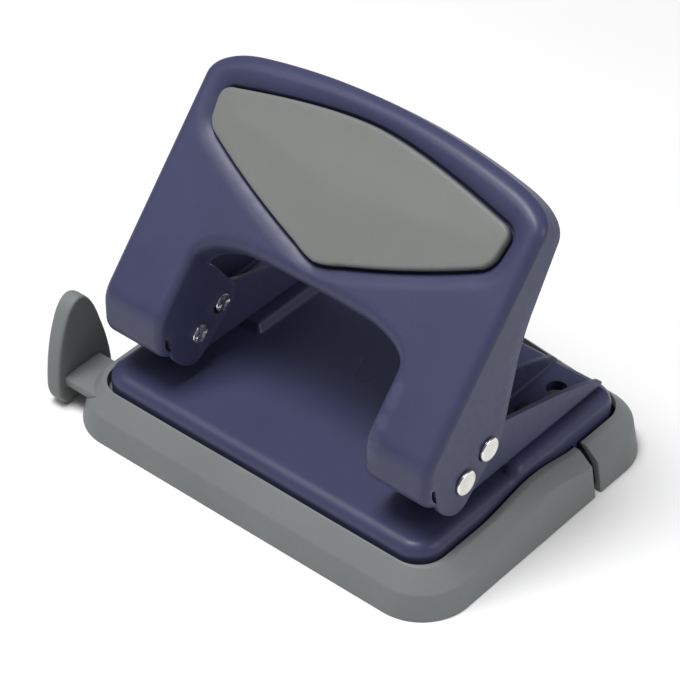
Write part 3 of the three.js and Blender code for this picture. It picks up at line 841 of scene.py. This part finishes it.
def build_lever():
    patch = Patchwork()
    outer, tab, outer_legs = with_legs(outer_edge(), 1.1)
    arch, tab, arch_legs = with_legs(arch_edge(), 1.0)
    folds = FOLD + (CROWN_FOLD - FOLD) * smooth((outer[:, 1] - LEVER["side"]) / FOLD_GROWTH)
    outer_ring = add_fold(patch, outer, normals(outer, closed=False), folds, tab)
    growth = smooth((arch[:, 1] - ARCH["side"]) / ARCH_FOLD_GROWTH)
    arch_folds = ARM_FOLD + (ARCH_FOLD - ARM_FOLD) * growth
    arch_ring = add_fold(patch, arch, -normals(arch, closed=False), arch_folds, tab)
    crown = slice(outer_legs, len(outer) - outer_legs)
    patch.add(*flange_strip(outer[crown], folds[crown], LEVER["rim"]))
    opening = slice(arch_legs, len(arch) - arch_legs)
    patch.add(*flange_strip(arch[opening], arch_folds[opening], LEVER["rim"]))

    rows = [s for s in np.r_[np.linspace(S_END, S_CURL, 10), np.linspace(S_UPRIGHT, S_BEND, 8)]]
    rows += list(np.arange(S_CURL + 1.2, S_UPRIGHT - 0.5, 1.2)) + list(np.arange(S_BEND + 1, 62, 1.6))
    inner = grid(np.arange(-48, 48.1, 1.5), sorted(rows))
    domain = face_domain(outer_ring, arch_ring)
    walls = [even(pad_outline(d), 0.8) for d in (-0.5, 0.25, 0.5, 0.75, 1.1)]
    slopes = np.vstack([even(pad_outline(d), 0.9) for d in np.arange(1.5, DISH["width"] + 0.3, 0.45)])
    slopes = slopes[nearest(slopes, domain) > 0.5]
    inner = inner[nearest(inner, slopes) > 0.6]
    flat, faces = fill(domain, loops=walls, inner=np.vstack([slopes, inner]), gap=0.35)
    patch.add(lever_point(flat[:, 0], flat[:, 1], np.zeros(len(flat)), flat), faces)

    for side in (-1, 1):
        add_ear(patch, side * LEVER["half_x"], outer[tab:outer_legs + 1, 1], FOLD, outer_rear())
        add_ear(patch, side * LEVER["arm_in"], arch[tab:arch_legs + 1, 1], ARM_FOLD, inner_rear())
    patch.weld(0.03).face_towards((40, FACE_Y, FACE_Z), (0, -1, 0.8))
    piece("lever_pressing", patch.mesh("lever"), BLUE, "lever", ["lever_handle"],
          thickness=SHEET, edge=0.25, angle=50)


def build_pad():
    """The pad: side wall, rounded edge and a slightly crowned top."""
    loop = PAD_LOOP
    into = normals(loop)
    radius = 0.8

    def crown(flat):
        return PAD_SWELL * smooth(-pad_distance(flat) / PAD_SWELL_WIDTH)

    rows = []
    for d, out in [(0.6, -PAD_ROOT), (0.15, -PAD_ROOT), (0, 0.15 - PAD_ROOT), (0, PAD_RIM - radius)]:
        flat = loop + into * d
        rows.append(lever_point(flat[:, 0], flat[:, 1], np.full(len(flat), -out)))
    for turn in np.linspace(0, math.pi / 2, 7)[1:]:
        flat = loop + into * radius * (1 - math.cos(turn))
        out = PAD_RIM - radius * (1 - math.sin(turn))
        rows.append(lever_point(flat[:, 0], flat[:, 1], -(out + crown(flat))))
    patch = Patchwork().add(*strip(rows, closed=True))
    inner = grid(np.arange(-44, 44.1, 1.6), np.arange(22, 60, 1.6))
    top, faces = fill(flat, inner=inner, gap=0.6)
    patch.add(lever_point(top[:, 0], top[:, 1], -(PAD_RIM + crown(top))), faces)
    under, faces = fill(loop + into * 0.6, inner=grid(np.arange(-40, 41, 6), np.arange(26, 58, 6)), gap=2)
    patch.add(lever_point(under[:, 0], under[:, 1], np.full(len(under), PAD_ROOT)), faces)
    patch.weld(0.002).face_towards((0, FACE_Y + 26, FACE_Z + 32), (0, -1, 1))
    mesh = patch.mesh("pad")
    hard_edges(mesh, 50)
    piece("handle_pad_moulding", mesh, PAD_GREY, "lever", ["handle_pad"])


# ---------- turned parts ----------
def lathe(patch, rows, axis_point, axis, count=48, shape=None):
    """Turns (radius, distance) rows round an axis along X or Z, which shape may shift along that axis."""
    turn = np.linspace(0, 2 * math.pi, count, endpoint=False)
    rings = []
    for radius, along in rows:
        far = np.full(count, float(along))
        if shape:
            far = far + shape(radius, turn)
        a, b = radius * np.cos(turn), radius * np.sin(turn)
        flat = np.column_stack([far, a, b]) if axis == "x" else np.column_stack([a, b, far])
        rings.append(flat + np.array(axis_point, float))
    verts, faces = strip(rings, closed=True)
    return patch.add(verts, faces)


def arc_rows(radius, along, size, way, steps=4):
    """A rounded edge of a disc: rows from its rim to its face; way is +1 or -1 along the axis."""
    turn = np.linspace(0, math.pi / 2, steps + 1)
    return [(radius - size * (1 - math.cos(t)), along - way * size * (1 - math.sin(t))) for t in turn]


def build_pin(name, side, spec, body):
    """A cross pin: round head outside the lever, shank, and a staked end inside it."""
    out = side * (LEVER["half_x"] + 0.08)
    inn = side * (LEVER["arm_in"] - 0.08)
    r, head, y, z = spec["pin_r"], spec["head_r"], spec["y"], spec["z"]
    patch = Patchwork()
    face = out + side * 0.8
    rows = [(0.001, face - side * 0.08), (head * 0.45, face - side * 0.05), (head * 0.8, face)]
    rows += [row for row in arc_rows(head, face, 0.38, side)][::-1]
    rows += [(head, out + side * 0.1), (head - 0.1, out), (r, out), (r, inn)]
    lathe(patch, rows, (0, y, z), "x")
    end = inn - side * 0.55

    def star(radius, turn):
        cut = np.clip((radius - 0.5) / 1.2, 0, 1) * np.clip((r + 0.75 - radius) / 0.5, 0, 1)
        return side * 0.45 * cut * np.clip(np.cos(4 * turn), 0, 1) ** 2

    staked = [(r, inn), (r + 0.72, inn), (r + 0.8, inn - side * 0.2), (r + 0.7, inn - side * 0.42)]
    staked += [(r + 0.35, end), (r - 0.1, end - side * 0.02), (r - 0.6, end + side * 0.12),
               (r - 1.05, end + side * 0.22), (0.3, end + side * 0.2), (0.001, end + side * 0.2)]
    lathe(patch, staked, (0, y, z), "x", 48, star)
    mesh = patch.weld(0.003).mesh(name)
    hard_edges(mesh, 45)
    piece(f"{name}_turned", mesh, NICKEL, body, [name])


def build_rivets(name, side):
    floor = BRACKET["bottom"] + SHEET
    under = PLATE_Z + STEP["height"] - PLATE_SHEET
    for i, y in enumerate(RIVET_YS):
        rows = [(0.001, floor + 1.25), (1.2, floor + 1.2), (2.1, floor + 1.0), (2.7, floor + 0.62),
                (2.95, floor + 0.3), (2.98, floor + 0.05), (1.5, floor + 0.05), (1.5, under - 0.05),
                (2.6, under - 0.05), (2.6, under - 0.6), (2.2, under - 0.95), (0.001, under - 1.05)]
        patch = lathe(Patchwork(), rows, (side * HOLE_X, y, 0), "z", 32).weld(0.003)
        mesh = patch.mesh(f"{name}_rivet_{i + 1}")
        hard_edges(mesh, 50)
        piece(f"{name}_rivet_{i + 1}_domed", mesh, BLUE, "base", [f"{name}_rivet_{i + 1}"])


def build_punch(name, side):
    """The punch rod with its V-ground cutting end, and the clip that the spring pushes on."""
    x, body = side * HOLE_X, f"{name}_punch"
    r, low, top = ROD["r"], ROD["low"], ROD["top"]
    rows = [(0.001, top), (1.2, top), (r - 0.35, top), (r, top - 0.35), (r, CLIP["z"] + 1), (r, low + 2),
            (r, low + 1.3), (r - 0.02, low), (2.0, low), (1.3, low), (0.6, low), (0.001, low)]

    def ground(radius, turn):
        """The end face is ground to a V: highest on the middle line."""
        return 1.3 * np.clip(1 - radius * np.abs(np.sin(turn)) / 2.6, 0, 1)

    patch = lathe(Patchwork(), rows[:6], (x, PUNCH_Y, 0), "z")
    turn = np.linspace(0, 2 * math.pi, 48, endpoint=False)
    rings = []
    for radius, z in rows[5:]:
        lift = ground(radius, turn) if z == low else 0
        rings.append(np.column_stack([x + radius * np.cos(turn), PUNCH_Y + radius * np.sin(turn),
                                      np.full(48, float(z)) + lift]))
    patch.add(*strip(rings, closed=True)).weld(0.003)
    mesh = patch.mesh(f"{name}_rod")
    hard_edges(mesh)
    piece(f"{name}_punch_rod_ground", mesh, NICKEL, body, [f"{name}_punch_rod"])

    z, thick = CLIP["z"], CLIP["thick"]
    rim, high = CLIP["r"], z + thick
    rows = [(r + 0.05, z + 0.1), (r + 0.15, z), (rim - 0.1, z), (rim, z + 0.1),
            (rim, high - 0.1), (rim - 0.1, high), (r + 0.15, high), (r + 0.05, high - 0.1)]
    rows.append(rows[0])
    mesh = lathe(Patchwork(), rows, (x, PUNCH_Y, 0), "z").weld(0.003).mesh(f"{name}_clip")
    hard_edges(mesh)
    piece(f"{name}_spring_clip_ring", mesh, SPRING_STEEL, body, [f"{name}_spring_clip"])


def build_spring(name, side):
    """A closed-end coil spring swept along its helix."""
    low, high = SPRING["low"] + SPRING["wire"], CLIP["z"] - 0.12 - SPRING["wire"]
    share = np.linspace(0, 1, SPRING["turns"] * 36 + 1)
    turn = 2 * math.pi * SPRING["turns"] * share
    climb = smooth(share) * 0.35 + share * 0.65
    path = np.column_stack([side * HOLE_X + SPRING["mean_r"] * np.cos(turn),
                            PUNCH_Y + SPRING["mean_r"] * np.sin(turn), low + (high - low) * climb])
    run = np.gradient(path, axis=0)
    run /= np.linalg.norm(run, axis=1)[:, None]
    out = np.column_stack([np.cos(turn), np.sin(turn), 0 * turn])
    up = np.cross(run, out)
    rows = []
    for a in np.linspace(0, 2 * math.pi, 12, endpoint=False):
        rows.append(path + SPRING["wire"] * (math.cos(a) * out + math.sin(a) * up))
    rings = np.array(rows).transpose(1, 0, 2)
    patch = capped(Patchwork(), list(rings)).weld(0.001)
    mesh = patch.mesh(f"{name}_spring")
    hard_edges(mesh, 60)
    made = piece(f"{name}_spring_coil", mesh, SPRING_STEEL, "base", [f"{name}_spring"])
    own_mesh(made)


# ---------- paper guide ----------
def fin_outline():
    front, back, low, top = FIN["front"], FIN["back"], FIN["low"], FIN["top"]
    o = Outline(back - 3, low).line(front + 2.6, low).curve(front, low + 1.6, front, low + 6, steps=10)
    o.curve(front + 0.5, 17, front + 3.4, 24, steps=16).curve(front + 5.6, top, -32.4, top, steps=14)
    o.curve(-28.6, top - 0.4, -25.8, 19, steps=14).curve(back - 0.4, 11, back, low + 4, steps=14)
    return o.curve(back, low, back - 3, low, steps=8).array()[:-1]


def build_guide():
    """The guide: a fin with a full round rim, on a flat bar that slides in the tray."""
    loop = even(fin_outline()[::-1], 0.6)
    into = normals(loop)
    if not inside((loop + into * 0.2)[:1], loop)[0]:
        into = -into
    near, far = FIN["face"], FIN["face"] - FIN["thick"]
    inner_r, outer_r = 0.7, 1.6

    def at(flat, x):
        return np.column_stack([np.full(len(flat), float(x)), flat])

    def rounding(face, r, steps):
        """Rows of a rounded rim, from the rim to the face."""
        way = math.copysign(1, (near + far) / 2 - face)
        turns = np.linspace(0, math.pi / 2, steps)
        return [at(loop + into * r * (1 - math.cos(t)), face + way * r * (1 - math.sin(t)))
                for t in turns]

    face_in, face_out = loop + into * inner_r, loop + into * outer_r
    rows = rounding(near, inner_r, 6)[::-1] + rounding(far, outer_r, 10)
    patch = Patchwork().add(*strip(rows, closed=True))
    for face, x, dome in ((face_in, near, -0.35), (face_out, far, 0)):
        flat, faces = fill(face, inner=grid(np.arange(-41, -23, 1.2), np.arange(1, 30, 1.2)), gap=0.5)
        depth = smooth(nearest(flat, densify(face, 0.3)) / 5)
        patch.add(np.column_stack([x + dome * depth, flat]), faces)
    patch.weld(0.003)
    block(patch, FIN["face"] - 1.2, BAR["inner"], BAR["front"], BAR["back"], BAR["low"], BAR["top"], 0.35)
    mesh = patch.mesh("guide")
    hard_edges(mesh, 50)
    piece("paper_guide_moulding", mesh, GREY, "guide", ["paper_guide"])


# ---------- light, floor and camera ----------
def area_light(name, place, target, size, power):
    data = bpy.data.lights.new(name, "AREA")
    data.shape, data.energy = "RECTANGLE", power
    data.size, data.size_y = size
    made = bpy.data.objects.new(name, data)
    bpy.context.scene.collection.objects.link(made)
    made.location = place
    made.rotation_euler = (Vector(target) - Vector(place)).to_track_quat("-Z", "Y").to_euler()
    return made


def build_stage():
    n = Nodes("floor")
    tone = n.mix(n.remap(n.noise(3, 2), 0, 1), (0.80, 0.80, 0.80, 1), (0.82, 0.82, 0.82, 1))
    material = n.finish(tone, n.remap(n.noise(5, 2), 0.85, 0.95), n.bump(n.noise(900, 2), 0.02, 0.0001))
    mesh = bpy.data.meshes.new("floor")
    mesh.from_pydata([(-4, -4, 0), (4, -4, 0), (4, 4, 0), (-4, 4, 0)], [], [(0, 1, 2, 3)])
    mesh.materials.append(material)
    floor = bpy.data.objects.new("floor", mesh)
    bpy.context.scene.collection.objects.link(floor)

    scene = bpy.context.scene
    world = bpy.data.worlds.new("studio")
    world.use_nodes = True
    world.node_tree.nodes["Background"].inputs["Color"].default_value = (1, 1, 1, 1)
    world.node_tree.nodes["Background"].inputs["Strength"].default_value = 0.2
    scene.world = world
    scene.view_settings.view_transform = "Standard"
    target = (0, 0, 0.03)
    area_light("main", (-0.12, -0.18, 0.91), target, (0.36, 0.36), 8.8)
    area_light("front", (-0.26, -0.32, 0.52), target, (0.26, 0.26), 0.65)
    area_light("side", (0.7, 0.22, 0.42), target, (0.4, 0.4), 2.0)


def build_camera():
    """The camera of the view: azimuth, elevation and distance round its target."""
    azimuth, elevation = math.radians(40.4728), math.radians(39.8130)
    back = Vector((math.sin(azimuth) * math.cos(elevation), -math.cos(azimuth) * math.cos(elevation),
                   math.sin(elevation)))
    data = bpy.data.cameras.new("camera")
    data.sensor_width, data.lens = 36, 162.17
    camera = bpy.data.objects.new("camera", data)
    bpy.context.scene.collection.objects.link(camera)
    camera.location = Vector((-2.467, -4.0, 29.688)) * MM + back * 720.69 * MM
    camera.rotation_euler = (-back).to_track_quat("-Z", "Y").to_euler()
    data.clip_start, data.clip_end = 0.01, 20
    bpy.context.scene.camera = camera


build_tray()
build_plate()
build_lever()
build_pad()
for side_name, side_sign in SIDES.items():
    build_bracket(side_name, side_sign)
    build_rivets(side_name, side_sign)
    build_punch(side_name, side_sign)
    build_spring(side_name, side_sign)
    build_pin(f"{side_name}_pivot_pin", side_sign, PIVOT, "base")
    build_pin(f"{side_name}_drive_pin", side_sign, DRIVE, f"{side_name}_punch")
build_guide()
build_stage()
build_camera()
